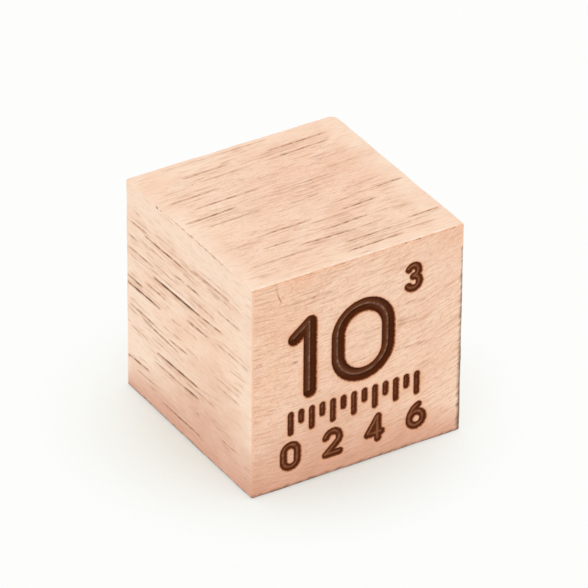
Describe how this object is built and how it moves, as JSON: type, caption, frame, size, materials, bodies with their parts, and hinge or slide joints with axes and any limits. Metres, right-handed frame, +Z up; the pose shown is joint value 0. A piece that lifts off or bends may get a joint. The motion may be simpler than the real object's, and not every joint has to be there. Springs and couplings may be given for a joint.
{
  "type": "copper cube",
  "caption": "Solid copper cube with brushed faces, crisp lightly broken edges, and plain figures over a millimetre scale engraved in its front.",
  "frame": {"origin": "centre of the cube's base", "axes": "+Z up, the engraved face looks along -Y and its figures read from -X to +X"},
  "size_m": [0.01, 0.01, 0.01],
  "materials": {
    "brushed_copper": "drawn copper rubbed on abrasive, faint streaks, dark laser-burnt engraving"
  },
  "bodies": {
    "root": {"copper_cube": "brushed_copper"}
  },
  "joints": []
}
